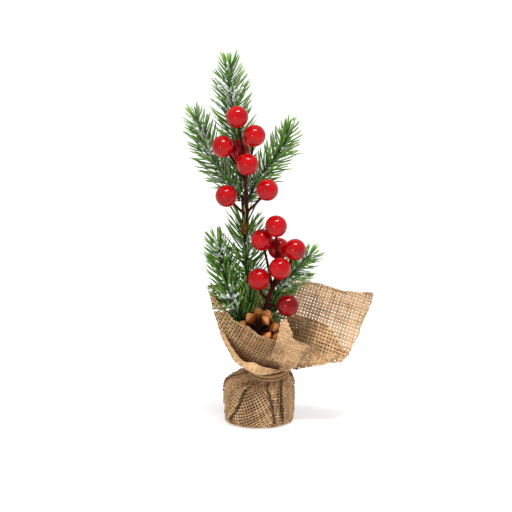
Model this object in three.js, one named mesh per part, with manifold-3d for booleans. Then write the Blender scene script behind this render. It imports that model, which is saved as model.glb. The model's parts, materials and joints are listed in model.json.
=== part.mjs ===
// An artificial tabletop tree: flocked pine sprigs, two picks of red berries and a pine cone, set in a
// weighted block that is wrapped in a square of burlap and tied at the neck with jute twine.
// Millimetres, +Z up. The origin is the centre of the flat underside, and -Y is the front.
import * as THREE from 'three';
import { mergeVertices } from 'three/addons/utils/BufferGeometryUtils.js';
import Module from 'manifold-3d';

const wasm = await Module();
wasm.setup();

// Driving dimensions.
const gap = 0.3; // between two pieces that touch
const clothThickness = 1.2;
const bagRadius = 23.5; // the wrapped base, over the cloth
const blockHeight = 24;
const neck = { x: 7, y: -2, z: 35, radius: 11, tilt: 14 }; // where the twine gathers the cloth
const twineRadius = 1.1;
const berryRadius = 7;
const berryWireRadius = 0.7;
const pickStemRadius = 1.6; // a bundle of berry wires bound with floral tape
const trunkRadius = 1.7;
const sprigWireRadius = 0.9;
const needleReach = 12; // how far a needle's tip stands from its stem
const coneLength = 33;
const coneRadius = 12;

// Sizes that follow from them.
const blockRadius = bagRadius - clothThickness - 0.6;
const blockFloor = clothThickness + gap;
const blockTop = blockFloor + blockHeight;
const socket = { x: 3.2, y: -1.2, radius: 6.4, depth: 17 }; // the hole in the block that takes every stem
const turn = Math.PI * 2;

const at = (x, y, z) => new THREE.Vector3(x, y, z);
const radians = THREE.MathUtils.degToRad;
const curveOf = (points) => new THREE.CatmullRomCurve3(points);

const paint = {
  burlap: new THREE.MeshStandardMaterial({ color: 0xb08d63, roughness: 0.95 }),
  twine: new THREE.MeshStandardMaterial({ color: 0xa67c4e, roughness: 0.95 }),
  needles: new THREE.MeshStandardMaterial({ color: 0x3f6b35, roughness: 0.6 }),
  bark: new THREE.MeshStandardMaterial({ color: 0x3a2618, roughness: 0.8 }),
  berry: new THREE.MeshStandardMaterial({ color: 0xc00a14, roughness: 0.15 }),
  berryStem: new THREE.MeshStandardMaterial({ color: 0x3d0f14, roughness: 0.5 }),
  cone: new THREE.MeshStandardMaterial({ color: 0x8f4f22, roughness: 0.7 }),
  tape: new THREE.MeshStandardMaterial({ color: 0x4a2a1c, roughness: 0.75 }),
  plaster: new THREE.MeshStandardMaterial({ color: 0xd9d3c6, roughness: 0.9 }),
  glue: new THREE.MeshStandardMaterial({ color: 0xd8b775, roughness: 0.3 }),
  steel: new THREE.MeshStandardMaterial({ color: 0x8a8d90, roughness: 0.35, metalness: 1 }),
};

const tree = new THREE.Group();

// Turning three.js geometry into solids and back.

function solid(geometry) {
  const bare = geometry.clone();
  bare.deleteAttribute('normal');
  bare.deleteAttribute('uv');
  const merged = mergeVertices(bare, 1e-4);
  return new wasm.Manifold(
    new wasm.Mesh({
      numProp: 3,
      vertProperties: new Float32Array(merged.attributes.position.array),
      triVerts: new Uint32Array(merged.index.array),
    }),
  );
}

// Booleans can leave crumbs, so the largest body is the piece.
function largest(made) {
  return made.decompose().reduce((a, b) => (b.volume() > a.volume() ? b : a));
}

function add(name, made, material) {
  const data = largest(made).getMesh();
  const geometry = new THREE.BufferGeometry();
  geometry.setAttribute('position', new THREE.BufferAttribute(new Float32Array(data.vertProperties), 3));
  geometry.setIndex(new THREE.BufferAttribute(new Uint32Array(data.triVerts), 1));
  geometry.computeVertexNormals();
  const mesh = new THREE.Mesh(geometry, material);
  mesh.name = name;
  tree.add(mesh);
}

// A round tube along a curve, with closed ends.
function tube(curve, radius, steps, sides = 6) {
  const section = new THREE.Shape();
  for (let i = 0; i < sides; i++) {
    const a = (i / sides) * turn;
    if (i) section.lineTo(radius * Math.cos(a), radius * Math.sin(a));
    else section.moveTo(radius, 0);
  }
  section.closePath();
  return solid(new THREE.ExtrudeGeometry(section, { steps, extrudePath: curve, curveSegments: 1 }));
}

// A ball that stands on a point.
function ball(centre, radius, around = 10, rows = 7) {
  return solid(new THREE.SphereGeometry(radius, around, rows).translate(centre.x, centre.y, centre.z));
}

// A closed body from rings of points: the first and last rings are closed by the points start and end.
function loft(rings, start, end) {
  const count = rings[0].length;
  const positions = [start, ...rings.flat(), end].flatMap((p) => [p.x, p.y, p.z]);
  const last = positions.length / 3 - 1;
  const index = [];
  const vertex = (ring, i) => 1 + ring * count + (i % count);
  for (let i = 0; i < count; i++) {
    index.push(0, vertex(0, i + 1), vertex(0, i));
    index.push(last, vertex(rings.length - 1, i), vertex(rings.length - 1, i + 1));
    for (let ring = 0; ring < rings.length - 1; ring++) {
      index.push(vertex(ring, i), vertex(ring, i + 1), vertex(ring + 1, i + 1));
      index.push(vertex(ring, i), vertex(ring + 1, i + 1), vertex(ring + 1, i));
    }
  }
  const geometry = new THREE.BufferGeometry();
  geometry.setAttribute('position', new THREE.BufferAttribute(new Float32Array(positions), 3));
  geometry.setIndex(index);
  return solid(geometry);
}

// The burlap square: a flat underside, a round bag up to the neck, and a collar that opens above it.

// Rings from the underside to the neck: centre, height, radius, tilt towards the front and depth of the flutes.
const bagRings = [
  { x: 0, y: 0, z: 0, radius: 12, tilt: 0, flute: 0 },
  { x: 0, y: 0, z: 0, radius: bagRadius - 3, tilt: 0, flute: 0 },
  { x: 0, y: 0, z: 1.2, radius: bagRadius - 0.9, tilt: 0, flute: 0 },
  { x: 0, y: 0, z: 4.5, radius: bagRadius, tilt: 0, flute: 0 },
  { x: 0, y: 0, z: 20, radius: bagRadius, tilt: 0, flute: 0.15 },
  { x: 0.3, y: 0, z: 25.4, radius: bagRadius - 1, tilt: 1, flute: 0.4 },
  { x: 2, y: -0.5, z: 29, radius: 20, tilt: 5, flute: 0.8 },
  { x: 4.8, y: -1.3, z: 31.4, radius: 15.3, tilt: 10, flute: 0.7 },
  { x: 6.6, y: -1.9, z: neck.z - 2.6, radius: neck.radius + 0.2, tilt: 13, flute: 0.3 },
  { ...neck, flute: 0.3 },
  { x: 7.1, y: -2.1, z: neck.z + 3, radius: neck.radius + 0.2, tilt: 14, flute: 0.3 },
];

// The collar's cut edge, with the angle of the neck that each point is gathered from.
const rim = [
  { angle: 0, point: at(74.5, 6, 85.5) },
  { angle: 20, point: at(52, 17, 87) },
  { angle: 45, point: at(28, 26, 87) },
  { angle: 75, point: at(9, 30, 84) },
  { angle: 105, point: at(-7, 28, 85) },
  { angle: 135, point: at(-21, 20, 88) },
  { angle: 165, point: at(-32, 4, 91.5) },
  { angle: 190, point: at(-28, -10, 86) },
  { angle: 215, point: at(-18, -23, 76) },
  { angle: 240, point: at(-6, -33, 68) },
  { angle: 265, point: at(7, -35, 65) },
  { angle: 290, point: at(18, -30, 73) },
  { angle: 315, point: at(37, -22, 58) },
  { angle: 340, point: at(58, -9, 47) },
];
const collarBelly = 3; // how far the collar bows outwards half way up
const clothColumns = 40;
const collarRows = 5;
const fluteCount = 10;

function ringPoint(ring, angle) {
  const radius = ring.radius + ring.flute * Math.cos(fluteCount * angle);
  const x = radius * Math.cos(angle);
  const y = radius * Math.sin(angle);
  return at(ring.x + x, ring.y + y, ring.z + y * Math.tan(radians(ring.tilt)));
}

function clothRings() {
  const edge = new THREE.CatmullRomCurve3(rim.map((r) => r.point), true);
  const angles = [];
  for (let i = 0; i < clothColumns; i++) {
    const place = (i / clothColumns) * rim.length;
    const from = rim[Math.floor(place)].angle;
    const to = rim[(Math.floor(place) + 1) % rim.length].angle || 360;
    angles.push(radians(THREE.MathUtils.lerp(from, to, place % 1)));
  }
  const rings = bagRings.map((ring) => angles.map((a) => ringPoint(ring, a)));
  const gathered = rings[rings.length - 1];
  for (let row = 1; row <= collarRows; row++) {
    const share = row / collarRows;
    rings.push(
      gathered.map((from, i) => {
        const point = from.clone().lerp(edge.getPoint(i / clothColumns), share);
        const bow = collarBelly * Math.sin(Math.PI * share);
        return point.add(at(Math.cos(angles[i]), Math.sin(angles[i]), -0.5).multiplyScalar(bow));
      }),
    );
  }
  return rings;
}

// The rings moved along the surface's own normals, so that the cloth has a thickness.
function offsetRings(rings, distance) {
  return rings.map((ring, r) =>
    ring.map((point, i) => {
      const across = ring[(i + 1) % ring.length].clone().sub(ring[(i + ring.length - 1) % ring.length]);
      const up = rings[Math.min(r + 1, rings.length - 1)][i].clone().sub(rings[Math.max(r - 1, 0)][i]);
      if (r < 2) return point.clone().add(at(0, 0, -distance));
      return point.clone().addScaledVector(across.cross(up).normalize(), distance);
    }),
  );
}

function clothBody(outwards, inwards) {
  const outer = offsetRings(clothRings(), outwards);
  const inner = offsetRings(clothRings(), -inwards);
  const under = at(0, 0, -outwards);
  const floor = at(0, 0, inwards);
  return loft([...outer, ...inner.reverse()], under, floor);
}

const cloth = clothBody(0, clothThickness);
const clothClearance = clothBody(gap, clothThickness + gap);
add('burlap_wrap', cloth, paint.burlap);

// The jute twine: two turns round the neck in the neck's own tilted plane, and its knot at the back.

const twineTurns = 1.96;
const twinePitch = 2 * twineRadius + 0.35;
const twineRing = neck.radius + 0.3 + gap + twineRadius;

class TwineWinding extends THREE.Curve {
  getPoint(t, target = new THREE.Vector3()) {
    const angle = Math.PI / 2 + t * twineTurns * turn;
    const y = twineRing * Math.sin(angle);
    const rise = (t - 0.5) * twineTurns * twinePitch;
    const tilt = y * Math.tan(radians(neck.tilt));
    return target.set(neck.x + twineRing * Math.cos(angle), neck.y + y, neck.z + tilt + rise);
  }
}
add('twine_tie', tube(new TwineWinding(), twineRadius, 44).subtract(clothClearance), paint.twine);

const knotPlace = at(neck.x, neck.y + twineRing + 2 * twineRadius + 1, neck.z + 3);
const knotTails = [-1, 1].map((side) =>
  curveOf([
    knotPlace.clone(),
    knotPlace.clone().add(at(4 * side, 1.6, 0.5)),
    knotPlace.clone().add(at(8 * side, 3.2, -2.5)),
    knotPlace.clone().add(at(10 * side, 4.6, -6.5)),
  ]),
);
const knot = knotTails.reduce(
  (made, tail) => made.add(tube(tail, twineRadius * 0.8, 6)),
  ball(knotPlace, twineRadius * 1.7, 8, 6),
);
add('twine_knot', knot.subtract(clothClearance), paint.twine);

// The stems, from the socket in the block to where they end.

const trunk = curveOf([
  at(1, 0.5, 11),
  at(2.2, 0.5, 24),
  at(4, 0.5, 36),
  at(2.4, 0.8, 48),
  at(-2, 1.2, 62),
  at(-6, 1.6, 78),
  at(-8.3, 2, 103),
  at(-9.4, 2, 129),
  at(-10.8, 2, 155),
]);
const lowerPickStem = curveOf([
  at(5.6, -2.5, 12),
  at(6.6, -2.8, 24),
  at(8.8, -3.5, 36),
  at(8, -4.6, 50),
  at(5.6, -5.8, 64),
  at(4.2, -7.8, 78),
  at(7, -10.4, 89),
  at(10.4, -12.5, 99),
]);
const upperPickStem = curveOf([
  at(-9.2, -2.6, 127),
  at(-8.8, -3.3, 136),
  at(-8.3, -5.5, 146),
  at(-8.6, -9, 158),
  at(-9.4, -12.5, 172),
]);
const upperPickBend = 0.2; // the share of each pick's stem that is held fast
const lowerPickBend = 0.745;
const coneWire = curveOf([
  at(2.6, -4.6, 12),
  at(3.6, -5.2, 25),
  at(5, -6.4, 37),
  at(4.6, -9.6, 44),
  at(4.2, -12.4, 50),
]);

// The bent wires of the four side sprigs and the leader. Each root is the point that the sprig bends about.
const leaderWire = curveOf([
  at(-11, 2, 157.6), at(-13, 2, 175), at(-16, 2, 200), at(-17.8, 2, 217), at(-19.3, 2, 243),
]);
const upperLeftWire = curveOf([
  at(-13.6, 2, 149),
  at(-17, 2, 157.5),
  at(-24, 2, 167),
  at(-31.7, 2, 181),
  at(-38.4, 2, 196.8),
  at(-41.3, 2, 208),
]);
const upperRightWire = curveOf([
  at(-7.2, 2, 147),
  at(-4, 2, 157.5),
  at(1.7, 2, 166.5),
  at(9, 2, 176),
  at(17.4, 2, 190),
  at(21, 2, 205),
]);
const lowerLeftWire = curveOf([
  at(-4.9, -0.9, 61),
  at(-11, -4, 70),
  at(-18.6, -7, 86),
  at(-22.3, -8, 103),
  at(-25.5, -8.5, 117),
  at(-29, -9, 126),
]);
const lowerRightWire = curveOf([
  at(2.6, 2.6, 60),
  at(6.5, 3.5, 72),
  at(11, 2.5, 85),
  at(16.5, 1.5, 94),
  at(26, 0, 104),
  at(34.5, -1, 114),
]);

// Every berry: its centre, how far up its pick's stem its wire leaves, and a point that the wire bends over.
const upperBerries = [
  { centre: at(-14.2, -19.4, 210.6), leaves: 1, bend: at(-10.6, -15.7, 186) },
  { centre: at(-3, -19.4, 198), leaves: 0.88, bend: at(-5.4, -13, 181) },
  { centre: at(-23.6, -19.4, 190.8), leaves: 0.84, bend: at(-14.5, -14.8, 177) },
  { centre: at(-7.6, -22.8, 179.7), leaves: 0.7, bend: at(-8.6, -15.6, 167) },
  { centre: at(-21.4, -19.4, 157.5), leaves: 0.3, bend: at(-13.5, -9.5, 146.5) },
  { centre: at(5.4, -19.4, 161.5), leaves: 0.34, bend: at(-2.5, -10, 149.5) },
  { centre: at(-13.4, -8, 185.3), leaves: 0.78, bend: at(-10.4, -7.4, 169.5) },
];
const lowerBerries = [
  { centre: at(11.1, -20, 137.3), leaves: 1, bend: at(11.2, -15.8, 115) },
  { centre: at(2, -14.5, 126.7), leaves: 0.93, bend: at(6, -12.2, 108) },
  { centre: at(12.8, -7.5, 119), leaves: 0.96, bend: at(11.6, -8.4, 103) },
  { centre: at(23.4, -18, 121), leaves: 0.94, bend: at(17.4, -12.4, 103) },
  { centre: at(13.6, -23, 109.6), leaves: 0.9, bend: at(11.6, -17.2, 98.5) },
  { centre: at(-0.1, -19, 101.4), leaves: 0.83, bend: at(1.6, -12.6, 90) },
  { centre: at(18.8, -20, 83.7), leaves: 0.79, bend: at(11.5, -13.6, 81.5) },
];

// A wire starts just inside its pick's stem and ends inside its berry.
function berryWire(pickStem, berry) {
  const origin = pickStem.getPointAt(berry.leaves);
  const away = berry.bend.clone().sub(origin).normalize();
  const start = origin.addScaledVector(away, berry.leaves === 1 ? -0.8 : pickStemRadius - 0.9);
  const arrival = berry.centre.clone().sub(berry.bend).normalize();
  const end = berry.centre.clone().addScaledVector(arrival, -0.45 * berryRadius);
  return curveOf([start, berry.bend, end]);
}

// The stretch of a curve between two shares of its length.
function stretch(curve, from, to, steps = 12) {
  const shareAt = (i) => from + ((to - from) * i) / steps;
  return curveOf(Array.from({ length: steps + 1 }, (_, i) => curve.getPointAt(shareAt(i))));
}

// A pick: a taped stem with a socket for every wire, the wires, and the berries that are pushed onto them.
// The stem is bendable, and it stands in two pieces, a held foot and the part that moves.
function addPick(name, pickStem, berries, bendShare, steps) {
  const slit = 0.4 / pickStem.getLength();
  let stem = tube(stretch(pickStem, bendShare + slit, 1), pickStemRadius, steps);
  berries.forEach((berry, i) => {
    const wire = berryWire(pickStem, berry);
    const clearance = tube(wire, berryWireRadius + gap, 6);
    stem = stem.subtract(clearance);
    add(`${name}_wire_${i + 1}`, tube(wire, berryWireRadius, 6), paint.berryStem);
    add(`${name}_berry_${i + 1}`, ball(berry.centre, berryRadius).subtract(clearance), paint.berry);
  });
  add(`${name}_stem`, stem, paint.berryStem);
  add(`${name}_foot`, tube(stretch(pickStem, 0, bendShare - slit), pickStemRadius, 16), paint.berryStem);
}
addPick('upper_pick', upperPickStem, upperBerries, upperPickBend, 8);
addPick('lower_pick', lowerPickStem, lowerBerries, lowerPickBend, 8);

// Needles: a body round a stem whose surface rises to a tip at every second point, each tip swept forward.

const sprayWall = 2.4; // the moulded rib between the needles

// How much of its full reach a needle has at a share of the way along the spray.
function reachAt(share, rootShare) {
  const grown = THREE.MathUtils.smoothstep(share, 0, rootShare);
  const tipward = Math.max(0, (share - 0.7) / 0.3);
  return grown * (1 - 0.45 * tipward * tipward);
}

function sprayBody(stem, { from, to = 1, reach, rows, points, rootShare = 0.35, full = 0 }) {
  const frames = stem.computeFrenetFrames(200, false);
  const rings = [];
  for (let row = 0; row <= rows; row++) {
    const share = row / rows;
    const place = THREE.MathUtils.lerp(from, to, share);
    const centre = stem.getPointAt(place);
    const frame = Math.round(place * 200);
    const ring = [];
    for (let i = 0; i < 2 * points; i++) {
      const angle = (i / (2 * points)) * turn;
      const tip = full || ((i + row) % 2 === 0 && row > 0);
      const outwards = tip ? sprayWall + (reach - sprayWall) * reachAt(share, rootShare) + full : sprayWall;
      const forward = 0.75 * (outwards - sprayWall);
      ring.push(
        centre
          .clone()
          .addScaledVector(frames.normals[frame], outwards * Math.cos(angle))
          .addScaledVector(frames.binormals[frame], outwards * Math.sin(angle))
          .addScaledVector(frames.tangents[frame], forward),
      );
    }
    rings.push(ring);
  }
  const endFrame = Math.round(to * 200);
  const start = stem.getPointAt(from);
  const overhang = to === 1 ? 0.8 * reach : 0.3 * reach;
  const end = stem.getPointAt(to).addScaledVector(frames.tangents[endFrame], overhang);
  return loft(rings, start, end);
}

const sprays = {
  leader: { stem: leaderWire, from: 0.05, reach: needleReach, rows: 13, points: 6, rootShare: 0.4 },
  upper_left: { stem: upperLeftWire, from: 0.12, reach: needleReach, rows: 9, points: 6, rootShare: 0.45 },
  upper_right: { stem: upperRightWire, from: 0.12, reach: needleReach, rows: 9, points: 6, rootShare: 0.45 },
  lower_left: { stem: lowerLeftWire, from: 0.16, reach: needleReach, rows: 9, points: 6, rootShare: 0.4 },
  lower_right: { stem: lowerRightWire, from: 0.2, reach: needleReach, rows: 8, points: 6, rootShare: 0.4 },
  middle: { stem: trunk, from: 0.46, to: 0.86, reach: needleReach, rows: 9, points: 6, rootShare: 0.3 },
};

const bodyOf = (spray, full = 0) => sprayBody(spray.stem, { ...spray, full });
const wireClearance = (stem, radius, steps) => tube(stem, radius + gap, steps);
const berryClearance = (berries, pickStem) =>
  berries.reduce(
    (made, berry) =>
      made
        .add(ball(berry.centre, berryRadius + gap + 0.3))
        .add(tube(berryWire(pickStem, berry), berryWireRadius + 2 * gap, 6)),
    tube(pickStem, pickStemRadius + 2 * gap, 24),
  );

const aroundUpperPick = berryClearance(upperBerries, upperPickStem);
const aroundLowerPick = berryClearance(lowerBerries, lowerPickStem);
const aroundTrunk = wireClearance(trunk, trunkRadius, 24);

// Sprays that stand behind give way to those before them, and all give way to the picks and the cloth.
const sprayOrder = ['upper_left', 'upper_right', 'leader', 'lower_left', 'lower_right', 'middle'];
const sprayMargin = 0.8;

// The pine cone: a woody core with scales in a spiral, opening towards its tip.

const coneFoot = at(4, -12, 47);
const coneTip = at(1.4, -22.5, 47 + coneLength - 5);
const scaleCount = 34;
const goldenAngle = Math.PI * (3 - Math.sqrt(5));

function coneScale(length, width, thickness) {
  const scale = new THREE.BoxGeometry(length, width, thickness, 1, 1, 1).translate(length / 2, 0, 0);
  const position = scale.getAttribute('position');
  for (let i = 0; i < position.count; i++) {
    const outer = position.getX(i) > length / 2;
    if (!outer) position.setXYZ(i, 0, position.getY(i) * 0.3, position.getZ(i) * 0.6);
  }
  return scale;
}

function coneBody() {
  const profile = [
    [0, 0],
    [4.5, 0.5],
    [6, 0.3 * coneLength],
    [4.4, 0.7 * coneLength],
    [2, 0.88 * coneLength],
    [0, 0.9 * coneLength],
  ].map(([radius, height]) => new THREE.Vector2(radius, height));
  let made = solid(new THREE.LatheGeometry(profile, 10).rotateX(Math.PI / 2));
  for (let i = 0; i < scaleCount; i++) {
    const share = (i + 0.5) / scaleCount;
    const swell = Math.sin(Math.PI * (0.14 + 0.72 * share));
    const reach = coneRadius * swell;
    const height = coneLength * (0.04 + 0.78 * share);
    const rise = radians(10 + 55 * share);
    const scale = coneScale(reach / Math.cos(rise * 0.8), 6.4 * swell + 1.2, 1.8);
    scale.rotateY(-rise).rotateZ(i * goldenAngle).translate(0, 0, height - 1);
    made = made.add(solid(scale));
  }
  const data = made.getMesh();
  const geometry = new THREE.BufferGeometry();
  geometry.setAttribute('position', new THREE.BufferAttribute(new Float32Array(data.vertProperties), 3));
  geometry.setIndex(new THREE.BufferAttribute(new Uint32Array(data.triVerts), 1));
  const coneAxis = coneTip.clone().sub(coneFoot).normalize();
  const lean = new THREE.Quaternion().setFromUnitVectors(at(0, 0, 1), coneAxis);
  geometry.applyQuaternion(lean).translate(coneFoot.x, coneFoot.y, coneFoot.z);
  return solid(geometry);
}

const aroundConeWire = wireClearance(coneWire, 0.6, 12);
const cone = coneBody().subtract(aroundConeWire).subtract(clothClearance).subtract(aroundLowerPick);
add('pine_cone', cone, paint.cone);
add('cone_wire', tube(coneWire, 0.6, 10), paint.steel);
const coneEnvelope = solid(
  new THREE.SphereGeometry(1, 12, 8)
    .scale(coneRadius + 1.5, coneRadius + 1.5, coneLength / 2 + 1.5)
    .applyQuaternion(
      new THREE.Quaternion().setFromUnitVectors(at(0, 0, 1), coneTip.clone().sub(coneFoot).normalize()),
    )
    .translate((coneFoot.x + coneTip.x) / 2, (coneFoot.y + coneTip.y) / 2, (coneFoot.z + coneTip.z) / 2),
);

// The floral tape that holds the upper pick's foot against the trunk: a short sleeve round both.
const tapeCentre = at(-9.4, -0.4, 131.6);
const tapeHalfHeight = 3.6;

function sleeve(margin) {
  const height = 2 * (tapeHalfHeight + margin);
  return solid(
    new THREE.CylinderGeometry(1, 1, height, 14)
      .rotateX(Math.PI / 2)
      .scale(2.9 + margin, 5.2 + margin, 1)
      .translate(tapeCentre.x, tapeCentre.y, tapeCentre.z),
  );
}
const tape = sleeve(0).subtract(aroundTrunk).subtract(tube(upperPickStem, pickStemRadius + gap, 12));
add('tape_sleeve', tape, paint.tape);

// A spray that is bent forward past the collar: needles that would meet the cloth on the way are left off.
function clearOfCloth(made, pivot, degrees) {
  const there = new THREE.Matrix4().makeTranslation(pivot.x, pivot.y, pivot.z);
  const back = there.clone().invert();
  for (let angle = 0; angle <= degrees; angle += 1.5) {
    const turned = there.clone().multiply(new THREE.Matrix4().makeRotationX(radians(-angle))).multiply(back);
    made = made.subtract(clothClearance.transform(turned.elements));
  }
  return made;
}

// The sprays, each with a bore for its own wire.
sprayOrder.forEach((name, order) => {
  const spray = sprays[name];
  let made = bodyOf(spray);
  const aroundStem = name === 'middle' ? aroundTrunk : wireClearance(spray.stem, sprigWireRadius, 16);
  made = made.subtract(aroundStem);
  sprayOrder.slice(0, order).forEach((earlier) => {
    made = made.subtract(bodyOf(sprays[earlier], sprayMargin));
  });
  made = made.subtract(aroundUpperPick).subtract(aroundLowerPick);
  made = made.subtract(clothClearance).subtract(coneEnvelope);
  made = made.subtract(sleeve(gap));
  if (name === 'lower_left') made = clearOfCloth(made, at(-3.6, 0, 60.6), 15);
  add(`${name}_needles`, made, paint.needles);
});

// The wires of the sprigs, which stop a little short of the needles' tips.
sprayOrder
  .filter((name) => name !== 'middle')
  .forEach((name) => {
    add(`${name}_wire`, tube(stretch(sprays[name].stem, 0, 0.9), sprigWireRadius, 10), paint.bark);
  });
add('trunk_wire', tube(trunk, trunkRadius, 24), paint.bark);


// The block, its hot-melt glue, and the wire that binds the stems above the neck.

function blockBody() {
  const chamfer = 3;
  const profile = [
    [0, blockFloor],
    [blockRadius - chamfer, blockFloor],
    [blockRadius, blockFloor + chamfer],
    [blockRadius, blockTop - chamfer],
    [blockRadius - chamfer, blockTop],
    [0, blockTop],
  ].map(([radius, height]) => new THREE.Vector2(radius, height));
  return solid(new THREE.LatheGeometry(profile, 36).rotateX(Math.PI / 2));
}

function post(radius, from, to, sides) {
  return solid(
    new THREE.CylinderGeometry(radius, radius, to - from, sides)
      .rotateX(Math.PI / 2)
      .translate(socket.x, socket.y, (from + to) / 2),
  );
}

const socketFloor = blockTop - socket.depth;
const block = blockBody().subtract(post(socket.radius, socketFloor, blockTop + 1, 16));
add('base_block', block.subtract(clothClearance), paint.plaster);
const sunkStems = [
  [trunk, trunkRadius],
  [lowerPickStem, pickStemRadius],
  [coneWire, 0.6],
];
const glue = sunkStems.reduce(
  (made, [stem, radius]) =>
    made
      .subtract(tube(stem, radius + 2 * gap, 10))
      .subtract(ball(stem.getPoint(0), radius + 2 * gap)),
  post(socket.radius - gap, socketFloor + gap, blockTop - 0.5, 16),
);
add('glue_plug', glue, paint.glue);

const binding = { x: 6.2, y: -2.7, z: 39.6, radius: 6.6, wire: 0.4, turns: 2.4, pitch: 1.3 };

class BindingWinding extends THREE.Curve {
  getPoint(t, target = new THREE.Vector3()) {
    const angle = t * binding.turns * turn;
    return target.set(
      binding.x + binding.radius * Math.cos(angle),
      binding.y + binding.radius * Math.sin(angle),
      binding.z + (t - 0.5) * binding.turns * binding.pitch,
    );
  }
}
add('binding_wire', tube(new BindingWinding(), binding.wire, 40, 4), paint.steel);

export default tree;
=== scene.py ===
"""The looks of an artificial tabletop tree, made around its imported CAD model.

Lengths are in millimetres where nothing else is said.
"""

import json
import math

import bpy
import numpy as np
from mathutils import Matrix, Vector


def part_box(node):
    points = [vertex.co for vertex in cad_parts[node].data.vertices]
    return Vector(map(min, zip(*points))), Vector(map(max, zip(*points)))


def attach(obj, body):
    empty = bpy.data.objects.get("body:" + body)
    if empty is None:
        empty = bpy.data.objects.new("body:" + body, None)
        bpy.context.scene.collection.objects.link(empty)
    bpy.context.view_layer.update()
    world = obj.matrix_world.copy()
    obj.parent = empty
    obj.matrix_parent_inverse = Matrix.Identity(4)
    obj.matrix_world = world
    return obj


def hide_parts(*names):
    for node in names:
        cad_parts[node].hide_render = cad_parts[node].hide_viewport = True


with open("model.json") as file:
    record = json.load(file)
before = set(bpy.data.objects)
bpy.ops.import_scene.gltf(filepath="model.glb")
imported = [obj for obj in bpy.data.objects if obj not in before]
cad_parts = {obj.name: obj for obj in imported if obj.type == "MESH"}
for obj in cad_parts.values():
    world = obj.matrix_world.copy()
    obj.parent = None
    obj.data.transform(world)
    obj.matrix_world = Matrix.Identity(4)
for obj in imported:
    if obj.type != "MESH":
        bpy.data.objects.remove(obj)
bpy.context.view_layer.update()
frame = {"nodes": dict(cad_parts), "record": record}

MM = 0.001
rng = np.random.default_rng(12)

# The burlap's threads.
PITCH = 2.07  # from one thread to the next, about 12 to the inch
THREAD_WIDTH = 1.3
THREAD_DEPTH = 0.62
CLOTH_LAYER = 0.95  # how far one layer of a fold stands above the next
SHORTEST_RUN = 1.5  # in steps of the weave; shorter bits of thread at a panel's edge are left out
THREAD_SIDES = 6
HEM_STEP = 0.8  # between the hem's points

# ---- places, from the CAD model


def corners(node):
    """A node's lowest and highest corners, in millimetres."""
    low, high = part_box(node)
    return np.array(low) / MM, np.array(high) / MM


def middle(node):
    low, high = corners(node)
    return (low + high) / 2


def joint_place(name):
    joint = next(j for j in frame["record"]["behaviour"]["joints"] if j["name"] == name)
    return np.array(joint["pos_m"]) / MM


def centreline(node, count, near=None):
    """Points down the middle of a CAD tube, from the end that is closer to near, or from the lower end."""
    mesh = frame["nodes"][node].data
    points = np.array([v.co[:] for v in mesh.vertices]) / MM
    edges = np.array([e.vertices[:] for e in mesh.edges])
    centre = points.mean(axis=0)
    axis = np.linalg.svd(points - centre, full_matrices=False)[2][0]
    along = (points - centre) @ axis
    first, second = along[edges[:, 0]], along[edges[:, 1]]
    margin = 0.02 * (along.max() - along.min())
    line = []
    for level in np.linspace(along.min() + margin, along.max() - margin, count):
        crossing = (first - level) * (second - level) < 0
        share = (level - first[crossing]) / (second[crossing] - first[crossing])
        a, b = points[edges[crossing, 0]], points[edges[crossing, 1]]
        hits = a + share[:, None] * (b - a)
        line.append((hits.min(axis=0) + hits.max(axis=0)) / 2)
    line = np.array(line)
    if near is None:
        return line if line[0][2] <= line[-1][2] else line[::-1]
    return line if np.linalg.norm(line[0] - near) <= np.linalg.norm(line[-1] - near) else line[::-1]


# ---- mesh making


def unit(vectors):
    length = np.linalg.norm(vectors, axis=-1, keepdims=True)
    return vectors / np.maximum(length, 1e-9)


def clamped(values):
    return np.clip(values, 0, 1)


def lengths_along(points):
    """How far along a line each of its points lies."""
    return np.concatenate([[0], np.cumsum(np.linalg.norm(np.diff(points, axis=0), axis=1))])


def net_length(rows):
    rows = np.asarray(rows, float)
    return np.linalg.norm(np.diff(rows, axis=0), axis=1).sum()


def turned(first, second, angles):
    """The direction at each angle from the first axis towards the second."""
    return first * np.cos(angles)[..., None] + second * np.sin(angles)[..., None]


def ring_angles(count):
    return np.arange(count) / count * math.tau


def new_piece(name, vertices, faces, body, material, replaced=(), attributes=None):
    """A mesh object of small faces, tied to its CAD body. Vertices are in millimetres."""
    mesh = bpy.data.meshes.new(name)
    mesh.from_pydata((np.asarray(vertices) * MM).tolist(), [], faces)
    mesh.polygons.foreach_set("use_smooth", np.ones(len(mesh.polygons), bool))
    for key, values in (attributes or {}).items():
        layer = mesh.attributes.new(key, "FLOAT", "POINT")
        layer.data.foreach_set("value", np.asarray(values, dtype=np.float32))
    mesh.materials.append(material)
    piece = bpy.data.objects.new(name, mesh)
    bpy.context.scene.collection.objects.link(piece)
    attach(piece, body)
    if replaced:
        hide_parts(*replaced)
    return piece


class Mesher:
    """Gathers many small closed bodies into one mesh."""

    def __init__(self):
        self.vertices = []
        self.faces = []
        self.attributes = {}
        self.count = 0

    def add(self, vertices, faces, **attributes):
        self.vertices.append(vertices)
        self.faces.extend([tuple(int(i) + self.count for i in face) for face in faces])
        for key, values in attributes.items():
            values = np.broadcast_to(values, len(vertices))
            self.attributes.setdefault(key, []).append(values)
        self.count += len(vertices)

    def piece(self, name, body, material, slot, replaced=()):
        attributes = {k: np.concatenate(v) for k, v in self.attributes.items()}
        vertices = np.concatenate(self.vertices)
        return new_piece(name, vertices, self.faces, body, material, replaced, attributes)


def tube_piece(name, vertices, sides, body, material, replaced):
    """A piece that is one plain tube."""
    new_piece(name, vertices, tube_faces(len(vertices) // sides, sides), body, material, replaced)


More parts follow.
